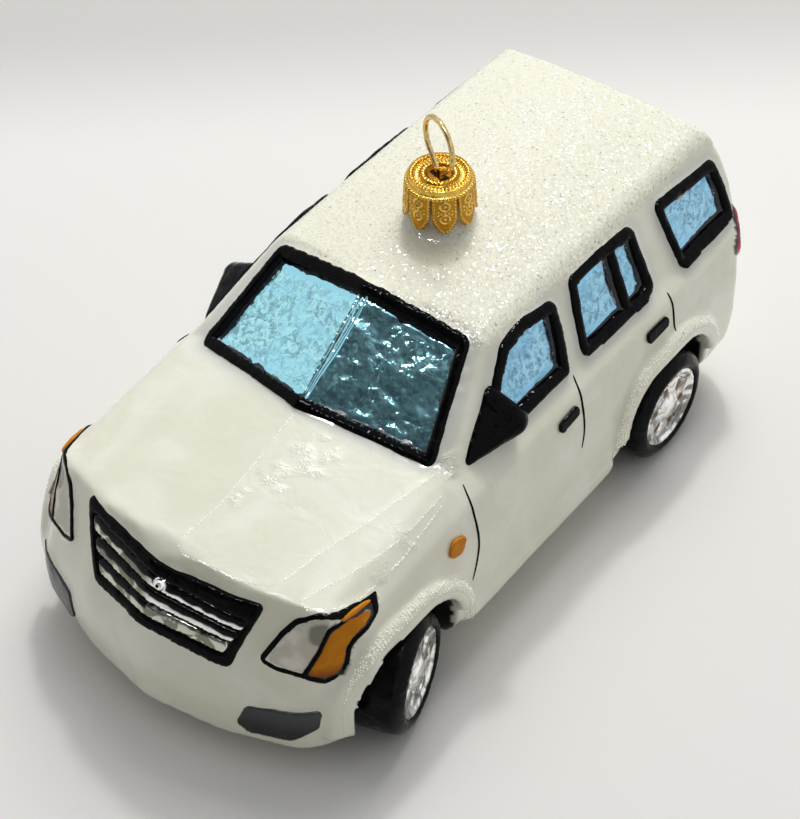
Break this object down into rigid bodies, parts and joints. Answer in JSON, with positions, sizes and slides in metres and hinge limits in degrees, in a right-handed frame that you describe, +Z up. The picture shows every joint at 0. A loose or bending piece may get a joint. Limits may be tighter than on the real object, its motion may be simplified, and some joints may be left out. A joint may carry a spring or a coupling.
{
  "type": "glass suv ornament",
  "caption": "Mouth-blown glass tree ornament in the shape of a white sport utility car, with silvered windows, black enamel lines, moulded wheels and a gold crown cap with a wire ring.",
  "frame": {"origin": "bottom centre of the bounding box, on the floor the tyres stand on", "axes": "-Y towards the car's nose, +X to the car's left-hand side, +Z up"},
  "size_m": [0.0684, 0.1201, 0.0653],
  "materials": {
    "pearl_enamel": "glossy pearl-white enamel on blown glass, fine clear glitter on the roof and the wheel-arch lips",
    "silvered_blue": "light-blue lacquer over silvering, slightly rippled",
    "black_enamel": "raised glossy black enamel",
    "silvering": "bare silvered glass",
    "smoke_enamel": "dark grey glossy enamel",
    "clear_lamp_enamel": "pearly clear lacquer over silvering",
    "amber_enamel": "amber lacquer over silvering",
    "red_enamel": "red lacquer over silvering",
    "tyre_enamel": "glossy black enamel",
    "gold_cap": "gold-coloured pressed sheet, bright",
    "gold_wire": "gold-coloured spring wire"
  },
  "bodies": {
    "car": {"body_shell": "pearl_enamel", "door_handles_left": "black_enamel", "door_handles_right": "black_enamel", "fog_lamp_left": "smoke_enamel", "fog_lamp_right": "smoke_enamel", "front_door_frame_left": "black_enamel", "front_door_frame_right": "black_enamel", "front_door_glass_left": "silvered_blue", "front_door_glass_right": "silvered_blue", "grille_bars": "silvering", "grille_surround": "black_enamel", "headlamp_left": "clear_lamp_enamel", "headlamp_outline_left": "black_enamel", "headlamp_outline_right": "black_enamel", "headlamp_right": "clear_lamp_enamel", "mirror_left": "black_enamel", "mirror_right": "black_enamel", "quarter_frame_left": "black_enamel", "quarter_frame_right": "black_enamel", "quarter_glass_left": "silvered_blue", "quarter_glass_right": "silvered_blue", "rear_door_frame_left": "black_enamel", "rear_door_frame_right": "black_enamel", "rear_door_glass_left": "silvered_blue", "rear_door_glass_right": "silvered_blue", "rear_glass": "silvered_blue", "rear_glass_frame": "black_enamel", "rim_front_left": "silvering", "rim_front_right": "silvering", "rim_rear_left": "silvering", "rim_rear_right": "silvering", "side_markers": "amber_enamel", "tail_lamp_left": "red_enamel", "tail_lamp_right": "red_enamel", "turn_lamp_left": "amber_enamel", "turn_lamp_right": "amber_enamel", "tyre_front_left": "tyre_enamel", "tyre_front_right": "tyre_enamel", "tyre_rear_left": "tyre_enamel", "tyre_rear_right": "tyre_enamel", "windscreen_frame": "black_enamel", "windscreen_left": "silvered_blue", "windscreen_right": "silvered_blue"},
    "cap_and_ring": {"cap": "gold_cap", "hanger": "gold_wire"}
  },
  "joints": [
    {"name": "cap_pull_off", "type": "slide", "parent": "car", "child": "cap_and_ring", "axis": [0, 0, 1], "range_m": [0, 0.02]}
  ]
}
